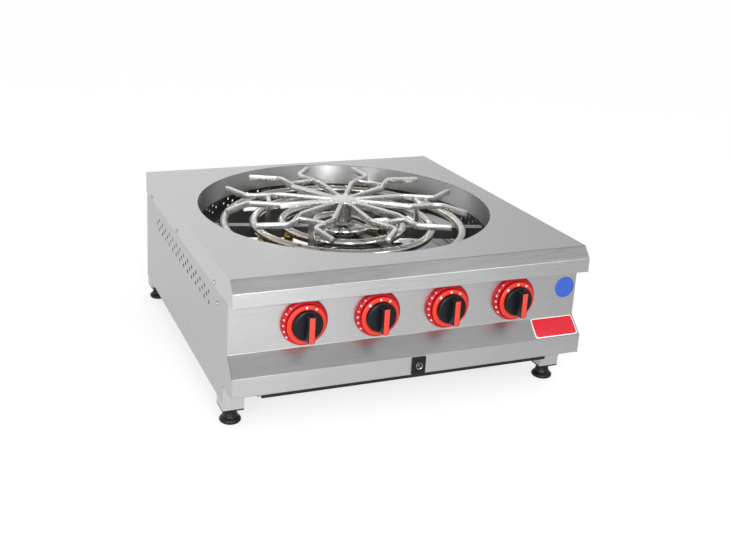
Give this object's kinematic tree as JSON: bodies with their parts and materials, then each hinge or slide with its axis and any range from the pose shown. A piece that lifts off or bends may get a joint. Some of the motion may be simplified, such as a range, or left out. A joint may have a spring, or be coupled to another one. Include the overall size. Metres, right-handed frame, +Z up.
{
  "type": "countertop gas stove",
  "caption": "Stainless countertop gas stove with ring burners in one large round well, a star-shaped grate, red-ringed knobs, a spark igniter and a drip tray.",
  "frame": {"origin": "middle of the footprint of the whole object on the surface that it stands on", "axes": "+X to the right seen from the front, +Y from the knobs towards the back, +Z up"},
  "size_m": [0.704, 0.741, 0.307],
  "materials": {
    "casing": "brushed stainless sheet",
    "frame_steel": "matt stainless",
    "polished_tube": "polished stainless",
    "grate_steel": "satin stainless",
    "black_plastic": "satin black",
    "brass": "turned brass",
    "copper_tube": "drawn copper tube",
    "pipe_steel": "zinc plated steel",
    "red_plastic": "glossy red",
    "chrome": "chrome plated",
    "ceramic": "glazed"
  },
  "bodies": {
    "stove": {"top_plate": "casing", "well_wall": "casing", "air_ring": "casing", "side_panel_left": "casing", "side_panel_right": "casing", "back_panel": "casing", "control_panel": "casing", "leg_rail_left": "frame_steel", "leg_rail_right": "frame_steel", "leg_end_plates": "black_plastic", "burner_cradle": "frame_steel", "burner_ring_1": "polished_tube", "burner_ring_2": "polished_tube", "burner_ring_3": "polished_tube", "burner_ring_4": "polished_tube", "centre_cone": "polished_tube", "gas_injectors": "brass", "gas_tubes": "copper_tube", "gas_valve_1": "brass", "gas_valve_2": "brass", "gas_valve_3": "brass", "gas_valve_4": "brass", "gas_manifold": "pipe_steel", "gas_inlet": "pipe_steel", "manifold_brackets": "frame_steel", "dial_rings": "red_plastic", "igniter_housing": "black_plastic", "spark_electrode": "ceramic", "panel_screws": "pipe_steel"},
    "push_1": {"valve_plunger_1": "brass"},
    "control_1": {"valve_spindle_1": "pipe_steel", "knob_1": "black_plastic", "knob_skirt_1": "red_plastic"},
    "push_2": {"valve_plunger_2": "brass"},
    "control_2": {"valve_spindle_2": "pipe_steel", "knob_2": "black_plastic", "knob_skirt_2": "red_plastic"},
    "push_3": {"valve_plunger_3": "brass"},
    "control_3": {"valve_spindle_3": "pipe_steel", "knob_3": "black_plastic", "knob_skirt_3": "red_plastic"},
    "push_4": {"valve_plunger_4": "brass"},
    "control_4": {"valve_spindle_4": "pipe_steel", "knob_4": "black_plastic", "knob_skirt_4": "red_plastic"},
    "igniter_push": {"igniter_button": "chrome"},
    "tray": {"drip_tray": "casing"},
    "grate": {"grate_hub": "grate_steel", "grate_fork_1": "grate_steel", "grate_fork_2": "grate_steel", "grate_fork_3": "grate_steel", "grate_fork_4": "grate_steel", "grate_fork_5": "grate_steel", "grate_fork_6": "grate_steel"},
    "levelling_foot_1": {"foot_1": "black_plastic"},
    "levelling_foot_2": {"foot_2": "black_plastic"},
    "levelling_foot_3": {"foot_3": "black_plastic"},
    "levelling_foot_4": {"foot_4": "black_plastic"}
  },
  "joints": [
    {"name": "knob_1_push", "type": "slide", "parent": "stove", "child": "push_1", "axis": [0, 1, 0], "range_m": [0, 0.003], "stiffness_N_per_m": 1500, "springref_m": -0.002},
    {"name": "knob_1_turn", "type": "hinge", "parent": "push_1", "child": "control_1", "pos_m": [-0.21, -0.3415, 0.2], "axis": [0, -1, 0], "range_deg": [0, 210]},
    {"name": "knob_2_push", "type": "slide", "parent": "stove", "child": "push_2", "axis": [0, 1, 0], "range_m": [0, 0.003], "stiffness_N_per_m": 1500, "springref_m": -0.002},
    {"name": "knob_2_turn", "type": "hinge", "parent": "push_2", "child": "control_2", "pos_m": [-0.07, -0.3415, 0.2], "axis": [0, -1, 0], "range_deg": [0, 210]},
    {"name": "knob_3_push", "type": "slide", "parent": "stove", "child": "push_3", "axis": [0, 1, 0], "range_m": [0, 0.003], "stiffness_N_per_m": 1500, "springref_m": -0.002},
    {"name": "knob_3_turn", "type": "hinge", "parent": "push_3", "child": "control_3", "pos_m": [0.07, -0.3415, 0.2], "axis": [0, -1, 0], "range_deg": [0, 210]},
    {"name": "knob_4_push", "type": "slide", "parent": "stove", "child": "push_4", "axis": [0, 1, 0], "range_m": [0, 0.003], "stiffness_N_per_m": 1500, "springref_m": -0.002},
    {"name": "knob_4_turn", "type": "hinge", "parent": "push_4", "child": "control_4", "pos_m": [0.21, -0.3415, 0.2], "axis": [0, -1, 0], "range_deg": [0, 210]},
    {"name": "igniter_push", "type": "slide", "parent": "stove", "child": "igniter_push", "axis": [0, 1, 0], "range_m": [0, 0.003], "stiffness_N_per_m": 1500, "springref_m": -0.002},
    {"name": "tray_slide", "type": "slide", "parent": "stove", "child": "tray", "axis": [0, -1, 0], "range_m": [0, 0.45]},
    {"name": "grate_lift", "type": "slide", "parent": "stove", "child": "grate", "axis": [0, 0, 1], "range_m": [0, 0.12]},
    {"name": "foot_1_level", "type": "slide", "parent": "stove", "child": "levelling_foot_1", "axis": [0, 0, 1], "range_m": [-0.015, 0]},
    {"name": "foot_2_level", "type": "slide", "parent": "stove", "child": "levelling_foot_2", "axis": [0, 0, 1], "range_m": [-0.015, 0]},
    {"name": "foot_3_level", "type": "slide", "parent": "stove", "child": "levelling_foot_3", "axis": [0, 0, 1], "range_m": [-0.015, 0]},
    {"name": "foot_4_level", "type": "slide", "parent": "stove", "child": "levelling_foot_4", "axis": [0, 0, 1], "range_m": [-0.015, 0]}
  ]
}
